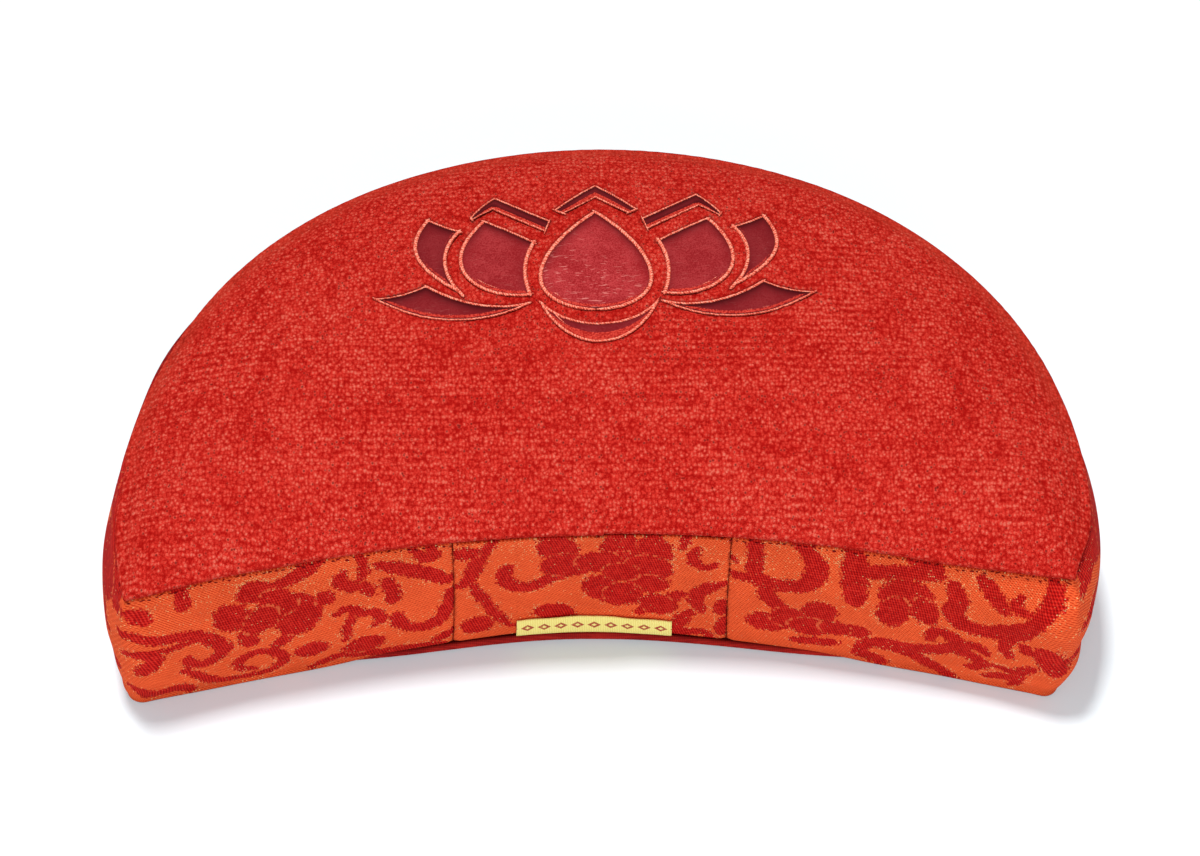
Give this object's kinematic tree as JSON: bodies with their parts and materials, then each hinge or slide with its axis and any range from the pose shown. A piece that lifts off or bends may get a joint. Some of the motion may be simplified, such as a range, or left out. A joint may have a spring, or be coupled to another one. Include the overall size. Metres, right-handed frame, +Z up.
{
  "type": "crescent meditation cushion",
  "caption": "Firm crescent-shaped floor cushion with a hollow front, a chenille top with a lotus in appliqué, and a brocade side band.",
  "frame": {"origin": "middle of the underside of the cushion's box, where it rests on the floor", "axes": "+X along the width, to the right as seen from the hollow front; +Y from the hollow front to the round back; +Z up"},
  "size_m": [0.4486, 0.2502, 0.1288],
  "materials": {
    "chenille": "red ribbed chenille, soft sheen",
    "base_cloth": "plain red cotton",
    "brocade": "orange brocade with dark red scrolls and gold threads",
    "velvet": "burgundy velvet edged with coral satin stitch",
    "label": "yellow woven ribbon"
  },
  "bodies": {
    "root": {"cushion": "chenille", "bottom_panel": "base_cloth", "side_band": "brocade", "front_insert": "brocade", "label": "label", "lotus_centre": "velvet", "lotus_base": "velvet", "lotus_back": "velvet", "lotus_inner_right": "velvet", "lotus_inner_left": "velvet", "lotus_outer_right": "velvet", "lotus_outer_left": "velvet", "lotus_leaf_right": "velvet", "lotus_leaf_left": "velvet", "lotus_back_tip_right": "velvet", "lotus_back_tip_left": "velvet"}
  },
  "joints": []
}
